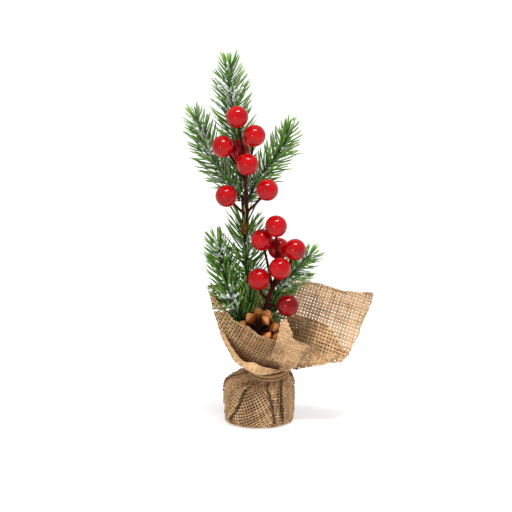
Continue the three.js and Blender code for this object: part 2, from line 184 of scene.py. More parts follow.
def tube_faces(rings, sides):
    """The quads between rings of a tube, and its two end caps."""
    faces = []
    for ring in range(rings - 1):
        low, high = ring * sides, (ring + 1) * sides
        for i in range(sides):
            j = (i + 1) % sides
            faces.append((low + i, low + j, high + j, high + i))
    faces.append(tuple(range(sides - 1, -1, -1)))
    last = (rings - 1) * sides
    faces.append(tuple(range(last, last + sides)))
    return faces


def swept(path, ups, half_widths, half_depths, sides=THREAD_SIDES):
    """The vertices of an oval section carried along a path: its depth lies along ups, its width across."""
    tangents = unit(np.gradient(path, axis=0))
    across = unit(np.cross(tangents, ups))
    depth = unit(np.cross(across, tangents))
    angles = ring_angles(sides)
    half_widths = np.broadcast_to(half_widths, len(path))
    half_depths = np.broadcast_to(half_depths, len(path))
    wide = across[:, None] * (half_widths[:, None] * np.cos(angles))[..., None]
    deep = depth[:, None] * (half_depths[:, None] * np.sin(angles))[..., None]
    return (path[:, None] + (wide + deep)).reshape(-1, 3)


def between(t, a, b, c, d):
    """A smooth curve from b to c, with a before them and d after them."""
    return 0.5 * (2 * b + (c - a) * t + (2 * a - 5 * b + 4 * c - d) * t**2 + (3 * b - a - 3 * c + d) * t**3)


def with_ends(points):
    """The points with one more before them and one after, straight on."""
    return np.concatenate([2 * points[:1] - points[1:2], points, 2 * points[-1:] - points[-2:-1]])


def catmull(points, at):
    """A smooth curve through evenly spaced points, at places from 0 to 1.

    The points' first axis is the curve's.
    """
    points = np.asarray(points, dtype=float)
    count = len(points) - 1
    padded = with_ends(points)
    place = np.asarray(at) * count
    index = np.clip(np.floor(place).astype(int), 0, count - 1)
    t = place - index
    t = t.reshape(t.shape + (1,) * (points.ndim - 1))
    return between(t, *(padded[index + k] for k in range(4)))


def resampled(points, count):
    """The same smooth curve with count points spaced evenly along it."""
    fine = catmull(points, np.linspace(0, 1, 20 * len(points)))
    length = lengths_along(fine)
    wanted = np.linspace(0, length[-1], count)
    return np.stack([np.interp(wanted, length, fine[:, k]) for k in range(3)], axis=1)


def carried_frames(path):
    """A path's own direction and two across it that don't spin about it."""
    tangents = unit(np.gradient(path, axis=0))
    side = unit(np.cross(tangents[0], [0.3, 1.0, 0.1]))
    sides = []
    for tangent in tangents:
        side = unit(side - tangent * (side @ tangent))
        sides.append(side)
    sides = np.array(sides)
    return tangents, sides, np.cross(tangents, sides)


def smooth_noise(count, knots):
    """Random values from -1 to 1 that change slowly along count places."""
    values = rng.uniform(-1, 1, max(2, knots))
    return catmull(values, np.linspace(0, 1, count))


# ---- materials


def shader_of(made):
    return made.node_tree.nodes["Principled BSDF"]


def set_inputs(owner, values):
    for key, value in values.items():
        owner.inputs[key.replace("_", " ")].default_value = value


def material(name, roughness, metallic=0.0, **sockets):
    made = bpy.data.materials.new(name)
    made.use_nodes = True
    set_inputs(shader_of(made), {"Roughness": roughness, "Metallic": metallic, **sockets})
    return made


def node(made, kind, **inputs):
    new = made.node_tree.nodes.new("ShaderNode" + kind)
    set_inputs(new, inputs)
    return new


def link(made, source, output, target, socket):
    made.node_tree.links.new(source.outputs[output], target.inputs[socket])


def paint(made, source, output="Color"):
    link(made, source, output, shader_of(made), "Base Color")


def own_value(made, name):
    """The node that reads one of the mesh's own values, such as a thread's tone."""
    new = node(made, "Attribute")
    new.attribute_name = name
    return new


def noise(made, scale, detail, stretch=None):
    """Noise in the piece's own place. scale is in waves per metre."""
    texture = node(made, "TexNoise", Scale=scale, Detail=detail)
    coordinates = node(made, "TexCoord")
    if stretch:
        mapping = node(made, "Mapping", Scale=stretch)
        link(made, coordinates, "Object", mapping, "Vector")
        link(made, mapping, "Vector", texture, "Vector")
    else:
        link(made, coordinates, "Object", texture, "Vector")
    return texture


def ramp(made, source, output, stops):
    """A colour ramp of (place, colour) stops, read at the source's output."""
    new = node(made, "ValToRGB")
    elements = new.color_ramp.elements
    while len(elements) < len(stops):
        elements.new(0.5)
    for element, (place, colour) in zip(elements, stops):
        element.position = place
        element.color = (*colour, 1)
    link(made, source, output, new, "Fac")
    return new


def add_bump(made, texture, distance, strength=1.0):
    bump = node(made, "Bump", Strength=strength, Distance=distance)
    link(made, texture, "Fac", bump, "Height")
    link(made, bump, "Normal", shader_of(made), "Normal")


def combined(made, operation, first, second):
    """The node that adds or multiplies two (node, output) values."""
    new = node(made, "Math")
    new.operation = operation
    link(made, *first, new, 0)
    link(made, *second, new, 1)
    return new


def mixed(made, first, second, factor, kind="MIX"):
    """The node that mixes two (node, output) colours by a number or by a (node, output) value."""
    new = node(made, "Mix")
    new.data_type = "RGBA"
    new.blend_type = kind
    if isinstance(factor, tuple):
        link(made, *factor, new, "Factor")
    else:
        new.inputs["Factor"].default_value = factor
    link(made, *first, new, "A")
    link(made, *second, new, "B")
    return new


def jute_material(name, dark, light):
    """Jute fibre: warm tan that varies from thread to thread and along each, with a fine fibrous grain.

    A thread's tone makes it paler or darker. Below -0.3 it is in a crease, and its colour is darkened nearly
    to black there, as painted shade.
    """
    made = material(name, 0.95, Specular_IOR_Level=0.1)
    tone = own_value(made, "tone")
    fibres = noise(made, 2600, 6)
    uneven = combined(made, "ADD", (noise(made, 90, 3), "Fac"), (tone, "Fac"))
    colours = ramp(made, uneven, "Value", [(0.3, dark), (0.7, light)])
    shadow, shine = [tuple(c * part for c in light) for part in (0.72, 1.15)]
    grain = ramp(made, fibres, "Fac", [(0.3, shadow), (0.75, shine)])
    fibrous = mixed(made, (colours, "Color"), (grain, "Color"), 0.35)
    # Painted shade: a tone below -0.3 darkens the colour towards black, for threads in a crease.
    crease = node(made, "MapRange", From_Min=-1.0, From_Max=-0.3, To_Min=0.12, To_Max=1.0)
    link(made, tone, "Fac", crease, "Value")
    paint(made, mixed(made, (fibrous, "Result"), (crease, "Result"), 1.0, "MULTIPLY"), "Result")
    add_bump(made, fibres, 0.00025, 0.8)
    return made


def needle_material():
    """Soft plastic needles: green, darkened to near black at the foot as painted shade near the stem, paler
    at the tip, and white where the flock caught.
    """
    made = material("needle_green", 0.55, Specular_IOR_Level=0.08)
    stops = [
        (0.0, (0.014, 0.060, 0.004)), (0.35, (0.050, 0.155, 0.012)),
        (0.7, (0.150, 0.310, 0.038)), (1.0, (0.350, 0.520, 0.140)),
    ]
    greens = ramp(made, own_value(made, "tone"), "Fac", stops)
    speckle = noise(made, 1800, 3)
    grains = ramp(made, speckle, "Fac", [(0.38, (0, 0, 0)), (0.55, (1, 1, 1))])
    cover = combined(made, "MULTIPLY", (own_value(made, "frost"), "Fac"), (grains, "Color"))
    white = node(made, "RGB")
    white.outputs[0].default_value = (0.90, 0.93, 0.85, 1)
    paint(made, mixed(made, (greens, "Color"), (white, "Color"), (cover, "Value")), "Result")
    add_bump(made, speckle, 0.0001, 0.5)
    return made


def flock_material():
    made = material("snow_flock", 0.95, Subsurface_Weight=0.1, Sheen_Weight=0.2)
    grain = noise(made, 2400, 4)
    paint(made, ramp(made, grain, "Fac", [(0.2, (0.78, 0.80, 0.77)), (0.7, (0.93, 0.94, 0.92))]))
    add_bump(made, grain, 0.0002)
    return made


def berry_material():
    """Red lacquer over a foam ball: a deep red, glossy, slightly cloudy, and darker on some berries, the
    lowest one much darker as painted shade.
    """
    made = material("berry_lacquer", 0.1, Specular_IOR_Level=0.24)
    depth = combined(made, "ADD", (noise(made, 120, 3), "Fac"), (own_value(made, "tone"), "Fac"))
    stops = [
        (0.0, (0.150, 0.0002, 0.001)), (0.3, (0.290, 0.0005, 0.002)),
        (0.6, (0.430, 0.0010, 0.003)), (0.8, (0.500, 0.0040, 0.006)),
    ]
    paint(made, ramp(made, depth, "Value", stops))
    return made


def tape_material(name, dark, light, roughness=0.45):
    """Waxy crepe tape: fine ribs and a soft shine."""
    made = material(name, roughness, Specular_IOR_Level=0.06)
    paint(made, ramp(made, noise(made, 260, 4), "Fac", [(0.3, dark), (0.72, light)]))
    add_bump(made, noise(made, 1500, 3, stretch=(1, 1, 0.25)), 0.0002, 0.6)
    return made


def cone_material():
    """Varnished pine cone, orange brown, with painted shade and light: near black between and under the
    scales, and paler along their lips, where light falls on them.
    """
    made = material("cone_scale", 0.5, Specular_IOR_Level=0.12)
    stops = [
        (0.0, (0.008, 0.002, 0.001)), (0.3, (0.060, 0.014, 0.003)),
        (0.58, (0.430, 0.120, 0.022)), (1.0, (0.880, 0.400, 0.150)),
    ]
    browns = ramp(made, own_value(made, "tone"), "Fac", stops)
    streak = noise(made, 900, 5)
    dirt = ramp(made, streak, "Fac", [(0.36, (0.34, 0.28, 0.24)), (0.6, (1, 1, 1))])
    paint(made, mixed(made, (browns, "Color"), (dirt, "Color"), 0.8, "MULTIPLY"), "Result")
    add_bump(made, streak, 0.0005, 0.7)
    return made


def grainy_material(name, dark, light, roughness, scale=500, metallic=0.0, depth=0.0003):
    made = material(name, roughness, metallic)
    grain = noise(made, scale, 6)
    paint(made, ramp(made, grain, "Fac", [(0.3, dark), (0.7, light)]))
    add_bump(made, grain, depth)
    return made


burlap = jute_material("burlap_jute", (0.17, 0.082, 0.034), (0.69, 0.440, 0.235))
twine_jute = jute_material("twine_jute", (0.20, 0.105, 0.04), (0.50, 0.31, 0.15))
needle_green = needle_material()
snow = flock_material()
lacquer = berry_material()
maroon = tape_material("maroon_tape", (0.018, 0.0015, 0.002), (0.072, 0.008, 0.008))
brown_tape = tape_material("brown_tape", (0.045, 0.016, 0.003), (0.19, 0.095, 0.020), 0.6)
bark = tape_material("bark_strip", (0.022, 0.018, 0.008), (0.075, 0.060, 0.022), 0.7)
woody = cone_material()
# The base block is nearly black: painted shade, for the dark seen through the bag's holes.
painted_shade_block = grainy_material("painted_shade_block", (0.012, 0.008, 0.005), (0.035, 0.024, 0.015), 0.95)
hot_glue = grainy_material("hot_glue", (0.42, 0.27, 0.10), (0.60, 0.42, 0.18), 0.25, 200)
galvanised = grainy_material("galvanised_wire", (0.30, 0.30, 0.31), (0.52, 0.52, 0.53), 0.38, 1500, 1.0)

# ---- camera, light and floor

CAMERA_DISTANCE = 5.0  # metres
CAMERA_LENS = 536.7
CAMERA_TILT = math.radians(15)
AIM = Vector((-0.002, 0, 0.1119))
FLOOR_REACH = 6  # metres
FLOOR_GLOW = 0.56  # keeps the floor as white as the photo's ground
SKY_STRENGTH = 0.66


def make_stage():
    camera = bpy.data.objects.new("camera", bpy.data.cameras.new("camera"))
    camera.data.lens = CAMERA_LENS
    camera.data.clip_end = 60
    camera.location = AIM + CAMERA_DISTANCE * Vector((0, -math.cos(CAMERA_TILT), math.sin(CAMERA_TILT)))
    camera.rotation_euler = (math.pi / 2 - CAMERA_TILT, 0, 0)
    bpy.context.scene.collection.objects.link(camera)
    bpy.context.scene.camera = camera

    mesh = bpy.data.meshes.new("floor")
    low, high = -FLOOR_REACH, FLOOR_REACH
    mesh.from_pydata([(low, low, 0), (high, low, 0), (high, high, 0), (low, high, 0)], [], [(0, 1, 2, 3)])
    floor = bpy.data.objects.new("floor", mesh)
    white = grainy_material("floor_white", (0.49, 0.49, 0.49), (0.50, 0.50, 0.50), 0.95, 3, depth=0.0)
    set_inputs(shader_of(white), {"Emission_Color": (1, 1, 1, 1), "Emission_Strength": FLOOR_GLOW})
    mesh.materials.append(white)
    bpy.context.scene.collection.objects.link(floor)

    world = bpy.data.worlds.new("studio")
    world.use_nodes = True
    set_inputs(world.node_tree.nodes["Background"], {"Color": (1, 1, 1, 1), "Strength": SKY_STRENGTH})
    bpy.context.scene.world = world

    lights = [
        # name, direction from the tree, distance, width, height, power
        ("top_softbox", (0.104, -0.252, 0.963), 1.6, 0.80, 0.26, 27.0),
        ("front_lamp", (-0.39, -0.90, 0.18), 1.5, 0.17, 0.17, 3.2),
    ]
    for name, direction, distance, width, height, power in lights:
        lamp = bpy.data.lights.new(name, "AREA")
        lamp.shape = "RECTANGLE"
        lamp.size = width
        lamp.size_y = height
        lamp.energy = power
        light = bpy.data.objects.new(name, lamp)
        light.location = AIM + distance * Vector(direction)
        light.rotation_euler = Vector(direction).to_track_quat("Z", "Y").to_euler()
        bpy.context.scene.collection.objects.link(light)
    bpy.context.scene.view_settings.view_transform = "Standard"


make_stage()

# ---- burlap


def net_surface(net):
    """A smooth surface through a net of points: its rows lie along v, its columns along u, from 0 to 1."""
    net = np.asarray(net, dtype=float)

    def surface(u, v):
        u, v = np.broadcast_arrays(u, v)
        flat_u, flat_v = u.ravel(), v.ravel()
        columns = catmull(np.moveaxis(net, 1, 0), flat_u)
        rows = net.shape[0] - 1
        padded = with_ends(np.moveaxis(columns, 1, 0))
        place = flat_v * rows
        index = np.clip(np.floor(place).astype(int), 0, rows - 1)
        t = (place - index)[:, None]
        pick = np.arange(len(flat_u))
        found = between(t, *(padded[index + k, pick] for k in range(4)))
        return found.reshape(u.shape + (3,))

    return surface


def normals_of(surface, a, b, step):
    across = surface(a + step, b) - surface(a - step, b)
    along = surface(a, b + step) - surface(a, b - step)
    return unit(np.cross(across, along))


def runs_of(inside, fine):
    """Where every unbroken run of True starts and ends, apart from the shortest."""
    edges = np.flatnonzero(np.diff(np.concatenate([[False], inside, [False]]).astype(int)))
    runs = [(fine[a], fine[b - 1]) for a, b in zip(edges[::2], edges[1::2])]
    return [(first, last) for first, last in runs if last - first >= SHORTEST_RUN]


def weave(
    mesher, surface, lines_a, lines_b, step,
    inside=None, frayed=(0, 0, 0, 0), fill=1.0, tone=0.0, shade=None, swell=None,
):
    """Threads woven over and under each other on a surface of two coordinates, a and b.

    lines_a and lines_b are the evenly spaced places of the threads, and step is a small distance to find the
    surface's normal with. inside says where there is cloth. frayed says how far the threads' ends stand out
    past the lowest a, the highest a, the lowest b and the highest b, in steps of the weave. fill is the
    threads' width as a share of the usual one. shade gives what is added to the tone at a place, and swell
    how much wider the threads are there.
    """
    spans = (
        (lines_a, lines_b, False, frayed[2], frayed[3]),
        (lines_b, lines_a, True, frayed[0], frayed[1]),
    )
    for lines, others, swapped, fray_low, fray_high in spans:
        spacing = others[1] - others[0]
        sideways = lines[1] - lines[0]
        fine = np.arange(0, len(others) - 0.95, 0.1)
        for i, line in enumerate(lines):
            kept = np.ones(len(fine), bool)
            if inside is not None:
                at = others[0] + fine * spacing
                kept = inside(at, line) if swapped else inside(line, at)
            for first, last in runs_of(kept, fine):
                low = first - rng.uniform(0.2, 1.0) * fray_low
                high = last + rng.uniform(0.2, 1.0) * fray_high
                count = max(4, int(round((high - low) * 2)) + 1)
                places = np.linspace(low, high, count)
                over = np.cos(math.pi * (places + i)) * (-1 if swapped else 1)
                beyond = np.clip(np.maximum(first - places, places - last), 0, None)
                over = np.where(beyond > 0.5, 0.3 * over, over)
                wander = 0.05 * smooth_noise(count, 3 + count // 9) + 0.05 * rng.uniform(-1, 1)
                wander = wander + 0.5 * rng.uniform(-1, 1) * np.clip(beyond - 0.3, 0, None)
                along = others[0] + places * spacing
                across = line + wander * sideways
                a, b = (along, across) if swapped else (across, along)
                ups = normals_of(surface, a, b, step)
                points = surface(a, b) + ups * (over * 0.5 * THREAD_DEPTH)[:, None]
                thickness = 1 + 0.12 * smooth_noise(count, 2 + count // 6) + 0.09 * rng.uniform(-1, 1)
                thickness = thickness * np.clip(1.15 - 0.25 * beyond, 0.45, 1)
                half_width, half_depth = 0.5 * THREAD_WIDTH * fill * thickness, 0.5 * THREAD_DEPTH * thickness
                if swell:
                    half_width = half_width * swell(a, b)
                own_tone = tone + 0.16 * rng.uniform(-1, 1) + 0.05 * smooth_noise(count, 3 + count // 8)
                own_tone = np.repeat(own_tone + (shade(a, b) if shade else 0), THREAD_SIDES)
                vertices = swept(points, ups, half_width, half_depth)
                mesher.add(vertices, tube_faces(count, THREAD_SIDES), tone=own_tone)


# The bag's shape: where each ring of the flat cloth comes to lie.
block_low, block_high = corners("base_block")
tie_centre = middle("twine_tie")
BAG_RADIUS = (block_high[0] - block_low[0]) / 2 + 1.8
NECK_TILT = 14.0
bag_profile = np.array([
    # flat radius, x, y, z, radius, tilt
    (0, 0, 0, 0.65, 0, 0),
    (12, 0, 0, 0.65, 12, 0),
    (19.5, 0, 0, 0.7, 19.5, 0),
    (22.5, 0, 0, 1.3, 22.3, 0),
    (25.5, 0, 0, 4.0, BAG_RADIUS - 0.2, 0),
    (34, 0, 0, 12.5, BAG_RADIUS, 0),
    (43, 0, 0, 21.5, BAG_RADIUS, 0),
    (46.5, 0.1, 0, 24.9, BAG_RADIUS - 0.2, 1),
    (49, 0.6, -0.1, 27.2, BAG_RADIUS - 1.4, 2),
    (52.5, 2.1, -0.5, 29.7, 19.6, 5),
    (57, 4.8, -1.3, 31.6, 15.3, 10),
    (62, 6.6, -1.9, 33.0, 11.4, 13),
    (65, 7.0, -2.0, 35.5, 10.6, NECK_TILT),
    (72, 7.1, -2.1, 42.5, 11.8, NECK_TILT),
])
BAG_REACH = 71.0  # the flat radius at which the bag ends, inside the tie
CLOTH_INSET = 1.35  # how far inside the bag's outline its lowest layer lies
FOLD_DEPTH = 5.5  # how far a fold's cloth runs back under its edge, at most
CREASE_WIDTH = 2.2  # how far the shade under a fold's edge reaches

# The folds of the bag: its angle at the foot, at the shoulder and at the neck, and whether the cloth on its
# clockwise side lies on top.
seams = [
    (-147, -117, -121, True),
    (-63, -74, -93, False),
    (-45, -50, -42, False),
    (14, 16, 18, False),
    (52, 54, 56, False),
    (90, 90, 88, False),
    (130, 126, 122, False),
    (166, 168, 170, True),
]
seam_angles = np.radians([s[0] for s in seams])
seam_over = np.array([s[3] for s in seams])
SHOULDER = 0.58  # how far up the folds' way the shoulder is
seam_drifts = []
for foot_angle, shoulder_angle, neck_angle, over in seams:
    halfway, end = shoulder_angle - foot_angle, neck_angle - foot_angle
    squared = (end - halfway / SHOULDER) / (1 - SHOULDER)
    seam_drifts.append((end - squared, squared))
seam_drifts = np.radians(seam_drifts)


def seam_place(k, rise):
    """Seam k's angle on the flat cloth, and on the block at a height."""
    flat = seam_angles[k % len(seams)] + np.floor_divide(k, len(seams)) * math.tau
    drift = seam_drifts[k % len(seams)]
    return flat, flat + drift[..., 0] * rise + drift[..., 1] * rise**2


def bag_panel(k, r, radius, rise):
    """The cloth between seams k and k + 1, at flat radius r.

    Gives its left and right angles on the block and on the flat cloth, its visible width, and how much cloth
    is spare on each side of it.
    """
    flat_left, left = seam_place(k, rise)
    flat_right, right = seam_place(k + 1, rise)
    visible = (right - left) * radius
    flat = (flat_right - flat_left) * r
    return left, right, flat_left, flat_right, visible, np.maximum(flat - visible, 0) / 2


def bag_fold(p, q):
    """Where the flat cloth's point (p, q), along its two threads, comes to lie in folds, and its shade."""
    p, q = np.broadcast_arrays(np.asarray(p, float), np.asarray(q, float))
    x, y = (p - q) / math.sqrt(2), (p + q) / math.sqrt(2)
    r = np.hypot(x, y)
    phi = (np.arctan2(y, x) - seam_angles[0]) % math.tau + seam_angles[0]
    cx, cy, height, radius, tilt = [np.interp(r, bag_profile[:, 0], bag_profile[:, k]) for k in range(1, 6)]
    radius = np.maximum(radius, 1)
    wrap = clamped((r - 22) / 4)  # 0 under the block, 1 up its side
    rise = clamped((r - 26) / 38)  # from 0 at the foot to 1 at the neck
    k = np.clip(np.searchsorted(seam_angles, phi, side="right") - 1, 0, len(seams) - 1)
    left, right, flat_left, flat_right, visible, spare_own = bag_panel(k, r, radius, rise)

    # How far the point is from its panel's middle. Past the panel's visible half it runs into the fold, and
    # where that would be too deep, the spare cloth is squeezed.
    arc = r * (phi - (flat_left + flat_right) / 2)
    side = np.where(arc >= 0, 1, -1)
    visible_next, spare_next = bag_panel(k + side, r, radius, rise)[4:]
    half = visible / 2
    flat = np.maximum((flat_right - flat_left) * r, 1e-6)
    reach = np.abs(arc) * np.where(flat < visible, visible / flat, 1)
    fold = np.maximum((spare_own + spare_next) / 2, 1e-6)
    squeeze = np.minimum(1, np.minimum(FOLD_DEPTH, 0.45 * np.minimum(visible, visible_next)) / fold)
    spare = np.maximum(reach - half, 0) * squeeze
    fold = fold * squeeze

    # Spare cloth runs back under its own edge where the panel lies on top, else on under the next one.
    on_top = np.where(side > 0, seam_over[(k + 1) % len(seams)], ~seam_over[k])
    beyond = np.minimum(spare, 2 * fold - spare)
    offset = np.where(reach <= half, reach, np.where(on_top, half - beyond, half + beyond))
    lifted = clamped((reach - half + fold + 1.5) / 3)
    hidden = np.where((spare < fold) == on_top, 1, 0)
    layer = np.where(reach <= half, np.where(on_top, 2 * lifted, 0), hidden) * wrap
    theta = (left + right) / 2 + side * offset / radius
    theta = theta * wrap + phi * (1 - wrap)

    # Soft waves all over, and fine gathers that grow towards the tie.
    ripple = 0.15 * (1 + np.sin(5 * theta + 0.3 * r)) * wrap + 0.7 * rise**2 * np.sin(26 * theta)
    outer = radius - CLOTH_INSET * wrap + CLOTH_LAYER * layer + ripple
    sin = np.sin(theta)
    place = [cx + outer * np.cos(theta), cy + outer * sin, height + outer * sin * np.tan(np.radians(tilt))]
    # Painted shade: cloth on the under side of a fold's edge, and cloth hidden beneath a fold, is darkened;
    # the edge of the panel on top is painted a little paler, as if lit.
    crease = clamped(1 - np.abs(half - reach) / CREASE_WIDTH)
    dark = np.where(on_top & (reach <= half), 0.04 * crease, -0.9 * crease**0.6)
    dark = np.where(reach > half, -0.6, dark)
    return np.stack(place, -1), dark * wrap


def bag_surface(p, q):
    return bag_fold(p, q)[0]


def bag_shade(p, q):
    """Cloth is darker where it runs in under a fold."""
    return bag_fold(p, q)[1]


def bag_swell(p, q):
    """The gathered cloth is denser from the shoulder up."""
    return 1 + 0.55 * clamped((np.hypot(p, q) - 44) / 6)


def make_bag():
    mesher = Mesher()
    half_count = int(BAG_REACH / PITCH)
    lines = np.arange(-half_count, half_count + 1) * PITCH

    def inside(a, b):
        return np.hypot(a, b) < BAG_REACH

    weave(mesher, bag_surface, lines, lines, 0.2, inside, fill=0.68, shade=bag_shade, swell=bag_swell)
    return mesher.piece("burlap_bag", "base", burlap, "burlap", ["burlap_wrap"])


# The collar, as the panels that its folds divide it into. Each is given by rows of points from the cut edge
# to the neck. The three with an outline are smooth surfaces near their points, cut to it in x and z.
left_line = [(-33, 0, 91.2), (-29, -4.5, 74.7), (-22.3, -8, 57), (-11, -8, 40.8)]
back_line = [(8, 27.5, 84.5), (9, 23.5, 68), (10, 16, 52), (12, 6, 38.5)]

right_flap = [
    (74, 5, 85.3), (54, 13, 85), (32, 21, 87.3), back_line[0],
    (71, 1, 72), (52, 9.5, 70), (33, 17, 69.5), back_line[1],
    (66.3, -4, 60), (49, 3, 55.5), (31, 9, 53), back_line[2],
    (58.3, -10, 47.4), (45, -9.5, 43), (31, -8, 39.6), (17, -2, 38),
]
right_flap_outline = [
    (7.2, 77.4), (19.7, 87.1), (30.1, 88.9), (40, 88), (53.1, 84.6), (63.5, 84.4), (74.7, 85.7),
    (73.4, 79.1), (68.8, 69.4), (64.8, 59.2), (57.6, 47.1), (53.7, 44), (38.6, 40.4), (24.2, 37),
    (13.8, 36.5), (8.5, 45.6),
]
right_return = [
    [(54, -1, 49.5), (46.5, 9.5, 59), (36.7, 17, 63.3), (19.6, 20.5, 65)],
    [(56, -5, 48.3), (46, 1.5, 50.5), (34, 6.5, 51), (18, 13, 51)],
    [(58.3, -9.6, 47.4), (45, -9, 43), (31, -7.5, 39.6), (17, -1.5, 38)],
]
cone_pleat = [
    (13.6, -29.6, 75.5), (16.2, -29.4, 77.2), (21.4, -27, 67.6), (22.4, -27.5, 63), (27, -27, 59),
    (33, -26, 57), (10.5, -27.5, 58.5), (13, -28.2, 58.8), (16, -28.2, 58), (19.5, -27.6, 56),
    (23.5, -25, 52.5), (28.5, -22, 49), (4, -14, 41), (7, -14.8, 39.6), (10, -14.8, 38.8), (13, -14, 38),
    (16, -12.4, 37.6), (19.5, -9.5, 37.8),
]
cone_pleat_outline = [
    (15.1, 76.3), (13.1, 67.6), (11.1, 58.9), (7.2, 50.6), (3.3, 42.8), (4.6, 37.7), (13.8, 36),
    (20.3, 37.8), (26.2, 44.2), (30.1, 50.9), (32.8, 56.8), (26.9, 58.8), (21.6, 63.3), (21, 68.3),
    (17.7, 76.3),
]
pleat_return = [
    [(33, -26, 57), (27, -21, 58.5), (21, -16, 60)],
    [(28.5, -22, 49), (24, -17.5, 50.5), (19, -13.5, 51)],
    [(19.5, -9.5, 37.8), (17, -8, 38.2), (14, -7.5, 38.4)],
]
front_left = [
    left_line[0], (-24.4, -13, 80), (-13.8, -22, 73), (0.5, -28, 65.5), (12, -27, 60.5),
    left_line[1], (-20.5, -16, 66), (-10.5, -23.5, 60), (1, -26, 55), (10, -24, 52),
    left_line[2], (-15, -17, 52), (-6.5, -21, 48.5), (1.5, -22, 46), (8.5, -20, 45),
    left_line[3], (-6.5, -12, 40), (-2, -13.5, 39), (3, -14, 38), (8, -14, 37.6),
]
front_left_outline = [
    (-33, 91.2), (-27.5, 83.7), (-22.3, 78.8), (-16.1, 73.2), (-7.2, 70.9), (0.5, 65.4), (11, 61.4),
    (17.7, 55.2), (14, 42), (8, 37.5), (-2, 37.5), (-11, 39), (-16.5, 43), (-24.5, 62.5), (-29.6, 77),
]
rolled_lip = [
    [
        (-24, -16, 64.5), (-16.8, -24, 54), (-10.1, -27, 47.3),
        (-3.3, -28, 46.5), (2.6, -28, 43.6), (14.4, -21, 39.6),
    ],
    [
        (-24, -15, 62), (-20.4, -20, 54.5), (-14.4, -25, 47),
        (-5.5, -28.5, 41.6), (3, -27.5, 39.4), (15, -20, 39.6),
    ],
    [(-9, -7, 42), (-7, -9.5, 40), (-4.4, -11.6, 38.4), (0, -13.2, 37.4), (5, -13.8, 36.6), (12, -13, 37)],
]
back_left = [
    [back_line[0], (-8, 26.5, 84), (-21.5, 18, 87), left_line[0]],
    [back_line[1], (-6, 22.5, 68), (-18.5, 13, 70), left_line[1]],
    [back_line[2], (-3, 15, 52), (-12, 6, 54), left_line[2]],
    [back_line[3], (5, 8.2, 38.5), (-4, 5, 39), (-10.5, -6.5, 40.3)],
]


def ruffled(surface, folds, depth, phase):
    """The surface with soft gathers that grow towards the neck."""

    def moved(u, v):
        base = surface(u, v)
        normal = normals_of(surface, u, v, 0.01)
        wave = depth * clamped(v) ** 1.5 * np.sin(math.tau * folds * u + phase)
        return base + normal * wave[..., None]

    return moved


def standing_surface(points, slant_a, slant_b):
    """A smooth standing surface near the points. Its coordinates run along two slants of the xz plane."""
    points = np.asarray(points, float)

    def terms(x, z):
        return np.stack([np.ones_like(x), x, z, x * x, x * z, z * z], axis=-1)

    weights = np.linalg.lstsq(terms(points[:, 0], points[:, 2]), points[:, 1], rcond=None)[0]
    along_a, along_b = [np.array([math.cos(s), math.sin(s)]) for s in map(math.radians, (slant_a, slant_b))]

    def surface(a, b):
        a, b = np.broadcast_arrays(np.asarray(a, float), np.asarray(b, float))
        x = a * along_a[0] + b * along_b[0]
        z = a * along_a[1] + b * along_b[1]
        return np.stack([x, terms(x, z) @ weights, z], axis=-1)

    return surface, np.linalg.inv(np.stack([along_a, along_b], axis=1))


def inside_outline(x, z, outline):
    """Whether points of the xz plane lie within a closed outline."""
    inside = np.zeros(np.shape(x), bool)
    for (x0, z0), (x1, z1) in zip(outline, outline[1:] + outline[:1]):
        crosses = (z0 > z) != (z1 > z)
        with np.errstate(divide="ignore", invalid="ignore"):
            inside ^= crosses & (x < x0 + (z - z0) * (x1 - x0) / (z1 - z0 if z1 != z0 else 1))
    return inside


def weave_standing(mesher, points, outline, hem, slants, frayed, fill, tone, wave, shading_at=None):
    """Weaves a standing panel within its outline.

    hem is the first and the last corner that the hem runs between, slants are the threads' two directions in
    degrees, wave is how deep the panel's waves are, and shading_at adds painted light and shade to the tone
    by x and z.
    """
    surface, to_ab = standing_surface(points, *slants)
    corners_ab = np.array(outline) @ to_ab.T
    lines = [
        np.arange(math.floor(low / PITCH) - 1, math.ceil(high / PITCH) + 2) * PITCH
        for low, high in zip(corners_ab.min(axis=0), corners_ab.max(axis=0))
    ]

    def waved(a, b):
        place = surface(a, b)
        shift = wave * np.sin(0.16 * place[..., 0] + 0.09 * place[..., 2]) * np.cos(0.05 * place[..., 2])
        place[..., 1] += shift
        return place

    def inside(a, b):
        place = surface(a, b)
        return inside_outline(place[..., 0], place[..., 2], outline)

    def shade(a, b):
        place = surface(a, b)
        return shading_at(place[..., 0], place[..., 2]) if shading_at else 0

    weave(mesher, waved, *lines, 0.2, inside=inside, frayed=frayed, fill=fill, tone=tone, shade=shade)

    edge = np.array([outline[k % len(outline)] for k in range(hem[0], hem[1] + 1)], float)
    length = lengths_along(edge)
    count = int(length[-1] / HEM_STEP)
    at = np.linspace(0, length[-1], count)
    edge = np.stack([np.interp(at, length, edge[:, 0]), np.interp(at, length, edge[:, 1])], axis=1)
    for ply in range(2):
        wander = 0.42 * np.stack([smooth_noise(count, count // 3) for _ in range(2)], axis=1)
        ab = (edge + wander) @ to_ab.T
        ups = normals_of(waved, ab[:, 0], ab[:, 1], 0.2)
        line = waved(ab[:, 0], ab[:, 1]) + ups * 0.25 * (2 * ply - 1)
        half_width = 0.25 * THREAD_WIDTH * (1 + 0.3 * smooth_noise(count, count // 4))
        vertices = swept(line, ups, half_width, 0.4 * THREAD_DEPTH)
        mesher.add(vertices, tube_faces(count, THREAD_SIDES), tone=tone)


